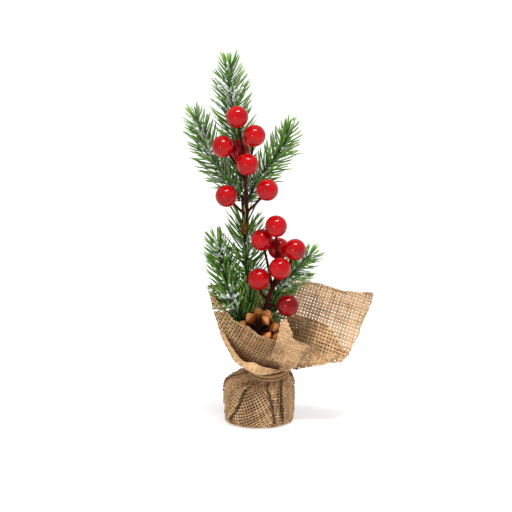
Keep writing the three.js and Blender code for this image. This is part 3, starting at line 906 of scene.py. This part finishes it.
def make_collar():
    mesher = Mesher()
    # Painted shade: the right flap is darkened towards the neck and its left, under the pleat and the folds.
    weave_standing(
        mesher, right_flap, right_flap_outline, (1, 13), (-11, -108), (0.3, 0.45, 0.45, 0.3), 1.12, 0.04, 0.8,
        lambda x, z: -0.5 * clamped((40 - x) / 14) * clamped((74 - z) / 12),
    )
    # Painted light and shade: the front panel's low tone and its darkening to the right are painted shade,
    # and it is paler towards its left edge, where light falls.
    weave_standing(
        mesher, front_left, front_left_outline, (10, 22), (-27, -115), (0.5, 0.5, 0.5, 0.7), 1.0, -0.14, 0.5,
        lambda x, z: 0.35 * clamped((-14 - x) / 12) - 0.25 * clamped(x / 10),
    )
    weave_standing(
        mesher, cone_pleat, cone_pleat_outline, (8, 20), (-24, -112), (0.4, 0.3, 0.3, 0.4), 1.58, 0.02, 0.5
    )
    panels = [
        # name, net, gathers, their depth, frayed ends, thread fill, tone
        # The return's and the back panel's tone of -0.1 is painted shade, inside the collar's folds.
        ("right_return", right_return, 2, 0.5, (0, 0, 0.5, 0), 1.32, -0.1),
        ("pleat_return", pleat_return, 1, 0.3, (0, 0, 1, 0), 0.95, 0.0),
        ("rolled_lip", rolled_lip, 3, 0.4, (0, 0, 0.8, 0), 1.2, 0.0),
        ("back_left", back_left, 3, 1.1, (0, 0, 0.4, 0), 1.4, -0.1),
    ]
    for name, net, folds, depth, frayed, fill, tone in panels:
        net = np.array(net, float)
        width = max(net_length(net[0]), net_length(net[1]), net_length(net[-1]))
        height = max(net_length(net[:, 0]), net_length(net[:, -1]), net_length(net[:, 1]))
        lines_u = np.linspace(0, 1, int(width / PITCH) + 1)
        lines_v = np.linspace(0, 1, int(height / PITCH) + 1)
        surface = ruffled(net_surface(net), folds, depth, len(name))
        weave(mesher, surface, lines_u, lines_v, 0.01, frayed=frayed, fill=fill, tone=tone)
    return mesher.piece("burlap_collar", "base", burlap, "burlap", ["burlap_wrap"])


bag = make_bag()
collar = make_collar()

# ---- twine


def twisted_cord(mesher, path, radius, lay, plies=3):
    """A cord of plies twisted round each other along a path, one turn in each lay."""
    _, sides, ups = carried_frames(path)
    length = lengths_along(path)
    ply_radius = radius * 0.56
    for ply in range(plies):
        angle = math.tau * (length / lay + ply / plies)
        out = turned(sides, ups, angle)
        strand = path + out * (radius - ply_radius)
        swell = 1 + 0.1 * smooth_noise(len(path), 4 + len(path) // 8)
        vertices = swept(strand, out, ply_radius * swell, ply_radius * swell)
        mesher.add(vertices, tube_faces(len(path), THREAD_SIDES), tone=0.08 * rng.uniform(-1, 1))


def make_twine():
    low, high = corners("twine_tie")
    cord_radius = 1.1
    ring = (high[0] - low[0]) / 2 - cord_radius
    turns, pitch = 1.96, 2 * cord_radius + 0.2
    t = np.linspace(0, 1, 260)
    angle = math.pi / 2 + t * turns * math.tau
    y = ring * np.sin(angle)
    rise = (t - 0.5) * turns * pitch
    slope = math.tan(math.radians(NECK_TILT))
    path = np.stack(
        [tie_centre[0] + ring * np.cos(angle), tie_centre[1] + y, tie_centre[2] + y * slope + rise], axis=1
    )
    mesher = Mesher()
    twisted_cord(mesher, path, cord_radius, 5.5)
    mesher.piece("twine_winding", "base", twine_jute, "twine", ["twine_tie"])

    knot_low, knot_high = corners("twine_knot")
    knot = np.array([(knot_low[0] + knot_high[0]) / 2, knot_low[1] + 2.4, knot_high[2] - 2.2])
    t = np.linspace(0, 1, 60)
    loop = np.stack(
        [1.5 * np.sin(math.tau * t), 1.1 * np.sin(2 * math.tau * t), 1.5 * np.cos(math.tau * t)], axis=1
    )
    mesher = Mesher()
    twisted_cord(mesher, knot + loop, 0.9, 5)
    for side in (-1, 1):
        tail = np.array([(0, 0.4, 0), (4 * side, 1.8, 0.5), (8 * side, 3.2, -2.4), (9.6 * side, 4.2, -5.6)])
        twisted_cord(mesher, resampled(knot + tail, 50), 0.85, 5)
    mesher.piece("twine_bow", "base", twine_jute, "twine", ["twine_knot"])


make_twine()

# ---- stems, wires and berries


def wrapped_stem(name, path, body, material, replaced, radius, end_radius, lay=4.0):
    """A stem wound in tape, whose overlapping turns stand up a little in a spiral."""
    count = max(8, int(net_length(path) / 0.5))
    path = resampled(path, count)
    _, sides, ups = carried_frames(path)
    length = np.linspace(0, net_length(path), count)
    radii = np.linspace(radius, end_radius, count)
    around = 12
    angles = ring_angles(around)
    phase = (length[:, None] / lay + angles[None, :] / math.tau) % 1
    lumps = 0.04 * smooth_noise(count, 3 + count // 10)[:, None]
    bulge = radii[:, None] * (1 + 0.10 * phase + lumps)
    ring = turned(sides[:, None], ups[:, None], angles)
    vertices = (path[:, None] + ring * bulge[:, :, None]).reshape(-1, 3)
    tube_piece(name, vertices, around, body, material, replaced)


def berry_mesh(centre, radius, stem_direction):
    """A slightly uneven ball with a dimple where its wire goes in: its vertices and faces."""
    rows, around = 26, 36
    axis = unit(stem_direction)
    side = unit(np.cross(axis, [0.21, 0.37, 0.9]))
    other = np.cross(axis, side)
    polar = np.linspace(0, math.pi, rows + 2)[1:-1]
    angles = ring_angles(around)
    dimple = 1 - 0.16 * np.exp(-((polar / 0.2) ** 2))
    uneven = 1 + 0.008 * np.sin(2 * angles[None, :] + rng.uniform(0, 6)) * np.sin(polar)[:, None]
    r = radius * dimple[:, None] * uneven
    across = np.sin(polar)[:, None, None] * r[..., None] * turned(side, other, angles)
    vertices = across + (np.cos(polar)[:, None] * r)[..., None] * axis
    top = axis * radius * 0.84
    bottom = -axis * radius
    vertices = np.concatenate([vertices.reshape(-1, 3), [top, bottom]]) + centre
    faces = tube_faces(rows, around)[:-2]
    faces = [tuple(reversed(face)) for face in faces]
    last = (rows - 1) * around
    for i in range(around):
        j = (i + 1) % around
        faces.append((rows * around, i, j))
        faces.append((rows * around + 1, last + j, last + i))
    return vertices, faces


# Each berry's tone: above 0 it is paler than the rest, below 0 darker. The small ones differ at random; the
# lower pick's seventh, low by the collar, is painted shade.
BERRY_TONES = {
    "upper_pick": [0.0, 0.04, -0.06, 0.02, -0.10, -0.02, -0.12],
    "lower_pick": [0.03, -0.08, 0.02, -0.04, 0.0, -0.08, -0.42],
}


def make_pick(pick):
    foot = centreline(f"{pick}_foot", 12)
    stem = centreline(f"{pick}_stem", 12, near=foot[-1])
    wrapped_stem(f"{pick}_taped_foot", foot, "base", maroon, [f"{pick}_foot"], 1.55, 1.55)
    start = stem[0] - unit(stem[1] - stem[0]) * 0.5
    path = np.concatenate([[start], stem])
    wrapped_stem(f"{pick}_taped_stem", path, pick, maroon, [f"{pick}_stem"], 1.55, 1.15)
    for number in range(1, 8):
        wire_node, berry_node = f"{pick}_wire_{number}", f"{pick}_berry_{number}"
        low, high = corners(berry_node)
        centre, radius = (low + high) / 2, 1.03 * (high[1] - low[1]) / 2
        wire = centreline(wire_node, 9, near=stem.mean(axis=0))
        wire = wire if np.linalg.norm(wire[-1] - centre) < np.linalg.norm(wire[0] - centre) else wire[::-1]
        name = f"{pick}_taped_wire_{number}"
        wrapped_stem(name, wire, pick, maroon, [wire_node], 0.92, 0.78, 3.0)
        vertices, faces = berry_mesh(centre, radius, wire[-3] - centre)
        name, tone = f"{pick}_red_berry_{number}", np.full(len(vertices), BERRY_TONES[pick][number - 1])
        new_piece(name, vertices, faces, pick, lacquer, [berry_node], {"tone": tone})


make_pick("upper_pick")
make_pick("lower_pick")

# ---- needles

NEEDLES_PER_MM = 2.9
NEEDLE_STATIONS = np.array([0.0, 0.25, 0.6, 0.85, 1.0])
NEEDLE_GIRTHS = np.array([0.75, 1.0, 1.0, 0.9, 0.35])
NEEDLE_SIDES = 4
GOLDEN_ANGLE = 2.39996  # from one needle to the next round the stem
SPRAY_STEPS = 160  # of a spray's stem


def needle_batch(roots, directions, forwards, lengths, widths, tones, frosts, inner):
    """Many needles at once. Each is a flat blade that bends forward and narrows to its tip."""
    count, rings = len(roots), len(NEEDLE_STATIONS)
    flat = unit(np.cross(directions, forwards + rng.normal(0, 0.25, (count, 3))))
    up = np.cross(directions, flat)
    vertices = np.empty((count, rings, NEEDLE_SIDES, 3))
    for k, (place, girth) in enumerate(zip(NEEDLE_STATIONS, NEEDLE_GIRTHS)):
        bend = 0.2 * lengths * place**2
        spine = roots + directions * (lengths * place)[:, None] + forwards * bend[:, None]
        for m in range(NEEDLE_SIDES):
            angle = m / NEEDLE_SIDES * math.tau
            wide = flat * (widths * girth * math.cos(angle))[:, None]
            vertices[:, k, m] = spine + wide + up * (0.75 * widths * girth * math.sin(angle))[:, None]
    one = tube_faces(rings, NEEDLE_SIDES)
    per_needle = rings * NEEDLE_SIDES
    faces = (np.array(one)[None] + (np.arange(count) * per_needle)[:, None, None]).reshape(-1, NEEDLE_SIDES)
    along = np.repeat(NEEDLE_STATIONS, NEEDLE_SIDES)[None, :]
    # Painted shade: each needle darkens towards its foot, near the stem.
    tone = clamped(tones[:, None] + 0.5 * along)
    frost = frosts[:, None] * clamped(1.15 - 0.9 * along) + inner[:, None] * clamped(1 - along / 0.45)
    return vertices.reshape(-1, 3), faces, tone.ravel(), frost.ravel()


# A ball of 20 triangles, the start of every lump of flock.
GOLDEN = (1 + math.sqrt(5)) / 2
signs = [(-1, GOLDEN), (1, GOLDEN), (-1, -GOLDEN), (1, -GOLDEN)]
ico_points = [(x, y, 0) for x, y in signs] + [(0, x, y) for x, y in signs] + [(y, 0, x) for x, y in signs]
ico_points = unit(np.array(ico_points, float))
ico_faces = [
    (0, 11, 5), (0, 5, 1), (0, 1, 7), (0, 7, 10), (0, 10, 11), (1, 5, 9), (5, 11, 4), (11, 10, 2), (10, 7, 6),
    (7, 1, 8), (3, 9, 4), (3, 4, 2), (3, 2, 6), (3, 6, 8), (3, 8, 9), (4, 9, 5), (2, 4, 11), (6, 2, 10),
    (8, 6, 7), (9, 8, 1),
]


def make_spray(name, path, body, reach, frost_share, lumps_per_mm, replaced, tip=0.62):
    """The needles all round a stem, leaning forward, and the flock that has settled on them.

    reach is the needles' length, and tip the share of it that is left at the tip of the stem.
    """
    length = net_length(path)
    count = int(NEEDLES_PER_MM * length)
    path = resampled(path, SPRAY_STEPS)
    tangents, sides, ups = carried_frames(path)
    place = (np.arange(count) + rng.uniform(0, 1, count)) / count
    index = np.clip((place * (SPRAY_STEPS - 1)).astype(int), 0, SPRAY_STEPS - 1)
    turn = np.arange(count) * GOLDEN_ANGLE + rng.normal(0, 0.2, count)
    outward = turned(sides[index], ups[index], turn)
    to_tip = clamped((place - 0.84) / 0.16)
    lean = np.radians(rng.normal(54, 6, count)) * (1 - 0.5 * to_tip)
    directions = unit(turned(tangents[index], outward, lean) + rng.normal(0, 0.05, (count, 3)))
    lengths = reach * rng.normal(1, 0.07, count) * (1 - (1 - tip) * clamped((place - 0.6) / 0.4) ** 1.3)
    lengths = lengths * (0.75 + 0.25 * clamped(place / 0.2))
    widths = rng.uniform(0.54, 0.70, count)
    tones = rng.uniform(0.0, 0.42, count) + 0.12 * to_tip
    bands = smooth_noise(SPRAY_STEPS, 9)[index]
    frosted = rng.uniform(0, 1, count) < frost_share * (0.6 + 0.9 * clamped(bands))
    frosts = np.where(frosted, rng.uniform(0.55, 1.0, count), rng.uniform(0, 0.08, count))
    roots = path[index] + outward * 0.3
    inner = rng.uniform(0, 1, count) * 2.2 * frost_share
    vertices, faces, tone, frost = needle_batch(
        roots, directions, tangents[index], lengths, widths, tones, frosts, inner
    )
    mesher = Mesher()
    mesher.add(vertices, faces, tone=tone, frost=frost)
    mesher.piece(f"{name}_fir_needles", body, needle_green, "needles", replaced)

    flock = Mesher()
    weights = np.clip(0.15 + bands, 0.02, None) * (0.3 + frosted) * (place > 0.28)
    for i in rng.choice(count, int(lumps_per_mm * length), p=weights / weights.sum()):
        centre = roots[i] + directions[i] * lengths[i] * rng.beta(1.6, 2.2) + rng.normal(0, 0.35, 3)
        size = rng.uniform(0.45, 1.05)
        shape = ico_points * size * rng.uniform(0.6, 1.25, (len(ico_points), 1))
        shape = shape + directions[i] * (shape @ directions[i])[:, None] * rng.uniform(0.4, 2.6)
        flock.add(shape + centre, ico_faces)
    flock.piece(f"{name}_snow", body, snow, "needles")


def sprig_path(name, cut):
    """A sprig's stem, from its root to the foot of its last needles. cut is the share left off at its tip."""
    root = joint_place(f"{name}_bend")
    wire = centreline(f"{name}_wire", 10, near=root)
    tip = wire[-1] + unit(wire[-1] - wire[-2]) * 0.09 * net_length(wire)
    count = 60
    return resampled(np.concatenate([[root], wire[1:], [tip]]), count)[: int(count * (1 - cut))]


def make_sprigs():
    sprigs = [
        # name, needles' length, share of frosted needles, flock, share of the tip left off
        ("leader", 16.3, 0.30, 1.3, 0.0),
        ("upper_left", 14.5, 0.28, 0.8, 0.0),
        ("upper_right", 14.2, 0.18, 0.6, 0.10),
        ("lower_left", 16.2, 0.10, 2.4, 0.0),
        ("lower_right", 14.5, 0.18, 1.2, 0.0),
    ]
    for name, reach, frost_share, lumps, cut in sprigs:
        path = sprig_path(name, cut)
        body = f"{name}_sprig"
        make_spray(name, path, body, reach, frost_share, lumps, [f"{name}_needles"])
        wrapped_stem(f"{name}_stem", path, body, bark, [f"{name}_wire"], 0.85, 0.5, 3.2)

    trunk = centreline("trunk_wire", 24)
    wrapped_stem("trunk_stem", trunk, "base", bark, ["trunk_wire"], 1.6, 1.3, 3.2)
    low, high = corners("middle_needles")
    steps = trunk[(trunk[:, 2] > low[2] - 4) & (trunk[:, 2] < high[2] - 1)]
    make_spray("middle", steps, "base", 17.5, 0.12, 0.5, ["middle_needles"], tip=0.85)


make_sprigs()

# ---- pine cone


def cone_scale_mesh(length, width, thickness, curl):
    """One woody scale: narrow at its foot, fanning out to a thick blunt lip, whose end is a slanted facet.

    It grows along +X, with +Z up. The tables give its shape at stations from its foot to its lip. Gives its
    vertices, its faces and its tones, which paint light and shade: near black at its foot, darker at its
    sides and underneath, and palest on its lip.
    """
    stations = np.array([0, 0.16, 0.32, 0.48, 0.62, 0.74, 0.78, 0.96, 1.0])
    across = np.array([-1, -0.9, -0.6, -0.3, 0, 0.3, 0.6, 0.9, 1])
    widths = np.array([0.24, 0.28, 0.38, 0.58, 0.82, 0.98, 1.0, 0.74, 0.6])
    rises = np.array([0.22, 0.24, 0.28, 0.36, 0.5, 0.66, 0.68, 0.12, -0.02]) * thickness
    drops = np.array([0.2, 0.22, 0.25, 0.3, 0.38, 0.46, 0.48, 0.5, 0.36]) * thickness
    # Painted light and shade along the scale: near black at its foot, where the scales shade each other, and
    # palest on its lip facet.
    shades = np.array([0.0, 0.04, 0.13, 0.30, 0.46, 0.54, 0.80, 0.94, 0.84])
    top, bottom, tones = [], [], []
    for s, w, rise, drop, shade in zip(stations, widths, rises, drops, shades):
        for a in across:
            x = length * (s - 0.14 * s * a * a)
            y = 0.5 * width * w * a
            bend = curl * length * s * s - 0.06 * width * w * a * a
            ridge = 0.25 * thickness * math.exp(-((a / 0.2) ** 2)) * s
            edge = 1 - 0.7 * a**6
            top.append((x, y, bend + rise * edge + ridge))
            bottom.append((x, y, bend - drop * edge))
            # Painted shade: the scale darkens towards its sides.
            tones.append(clamped(shade - 0.22 * a**6))
    row, under = len(across), len(top)
    starts = range(0, under - row, row)
    faces = []
    for start in starts:
        for a in range(start, start + row - 1):
            b, c, d = a + 1, a + row, a + row + 1
            faces.append((a, c, d, b))
            faces.append((under + a, under + b, under + d, under + c))
    for a in starts:
        c = a + row
        faces.append((a, under + a, under + c, c))
        a, c = a + row - 1, c + row - 1
        faces.append((a, c, under + c, under + a))
    for a in range(row - 1):
        faces.append((a, a + 1, under + a + 1, under + a))
        last = under - row + a
        faces.append((last, under + last, under + last + 1, last + 1))
    # Painted shade: the underside is much darker than the top.
    return np.array(top + bottom), faces, np.concatenate([tones, np.array(tones) * 0.4])


CONE_SCALE_THICKNESS = 3.4
CONE_SCALE_CURL = 0.1  # how far a scale bends up, as a share of its length
CONE_SCALE_FILL = 0.98  # the scales' width as a share of the listed one
CONE_CORE_LENGTH = 12.5


def make_cone():
    foot = np.array([0.6, -9.5, 58.5])
    axis = unit(np.array([-0.06, -0.64, 0.77]))
    side = unit(np.cross([0, 1, 0], axis))
    front = np.cross(axis, side)
    scales = [
        # turn about the axis and rise from square to it in degrees, height up the axis, reach, width
        (132, 37, 9.5, 12.8, 8.6), (90, 30, 8.0, 14.4, 8.6), (47, 35, 9.5, 14.2, 9.2),
        (27, 42, 11.5, 9.6, 8.6), (6, 10, 9.0, 13.4, 8.0), (-48, 10, 9.2, 10.5, 8.4),
        (182, 16, 9.0, 9.0, 7.4), (-25, 0, 6.2, 13.2, 8.8), (158, 28, 6.0, 14.6, 8.2),
        (205, 4, 6.0, 13.0, 9.0), (250, 4, 6.8, 12.0, 9.0), (292, 2, 6.0, 12.4, 9.0),
        (112, 16, 4.2, 9.8, 7.6), (66, 14, 4.8, 13.8, 8.8), (24, 8, 4.2, 13.8, 8.8),
    ]
    scales += [(15 + 60 * k, -6, 2.8, 9.2 if k in (1, 2) else 12.8, 8.8) for k in range(6)]
    scales += [(44 + 60 * k, -18, 0.3, 8.6 if k in (0, 1) else 11.6, 8.4) for k in range(6)]
    mesher = Mesher()
    for turn, rise, height, reach, width in scales:
        turn = math.radians(turn + rng.uniform(-4, 4))
        tilt = math.radians(rise + rng.uniform(-3, 3))
        outward = side * math.cos(turn) + front * math.sin(turn)
        across = np.cross(axis, outward)
        direction = outward * math.cos(tilt) + axis * math.sin(tilt)
        up = np.cross(direction, across)
        vertices, faces, tones = cone_scale_mesh(
            reach * rng.uniform(0.97, 1.03), CONE_SCALE_FILL * width, CONE_SCALE_THICKNESS, CONE_SCALE_CURL
        )
        root = foot + axis * height + outward * 0.8
        placed = root + vertices[:, :1] * direction + vertices[:, 1:2] * across + vertices[:, 2:] * up
        # Painted shade: the low scales, deep in the cone, are darker.
        depth = 0.3 * (1 - height / 9) if height < 9 else 0
        mesher.add(placed, faces, tone=clamped(tones - depth + rng.uniform(-0.06, 0.06)))
    rings, sides = 14, 12
    stations = np.linspace(0, 1, rings)
    path = foot + axis * (stations * CONE_CORE_LENGTH)[:, None]
    radii = 3.2 * np.sin(math.pi * (0.12 + 0.8 * stations))
    core = swept(path, np.broadcast_to(side, path.shape), radii, radii, sides)
    # Painted shade: the core is nearly black, as in the shade between the scales.
    mesher.add(core, tube_faces(rings, sides), tone=0.05)
    mesher.piece("open_pine_cone", "base", woody, "cone", ["pine_cone"])


make_cone()

# ---- base, glue, tape and binding


def make_small_parts():
    low, high = corners("tape_sleeve")
    centre, half = (low + high) / 2, (high - low) / 2
    count, sides = 18, 20
    heights = np.linspace(low[2] - 0.5, high[2] + 0.5, count)
    path = np.stack([np.full(count, centre[0]), np.full(count, centre[1]), heights], axis=1)
    lumps = 1 + 0.10 * np.sin(heights * 2.3) + 0.05 * rng.uniform(-1, 1, count)
    vertices = swept(path, np.array([[0, 1.0, 0]] * count), half[0] * lumps, half[1] * lumps, sides)
    tube_piece("floral_tape_wrap", vertices, sides, "base", brown_tape, ["tape_sleeve"])

    low, high = corners("binding_wire")
    centre = (low + high) / 2
    ring = (high[0] - low[0]) / 2 - 0.4
    count, sides = 120, 8
    t = np.linspace(0, 1, count)
    angle = t * 2.4 * math.tau
    x, y = centre[0] + ring * np.cos(angle), centre[1] + ring * np.sin(angle)
    path = np.stack([x, y, centre[2] + (t - 0.5) * 3.1], axis=1)
    vertices = swept(path, np.array([[0, 0, 1.0]] * count), 0.38, 0.38, sides)
    tube_piece("binding_coil", vertices, sides, "base", galvanised, ["binding_wire"])

    wire = resampled(centreline("cone_wire", 14), 40)
    vertices = swept(wire, carried_frames(wire)[1], 0.5, 0.5, sides)
    tube_piece("cone_wire_round", vertices, sides, "base", galvanised, ["cone_wire"])

    # The base block takes the nearly black material, painted shade behind the bag.
    for name, made in (("base_block", painted_shade_block), ("glue_plug", hot_glue)):
        for slot in frame["nodes"][name].material_slots:
            slot.material = made


make_small_parts()
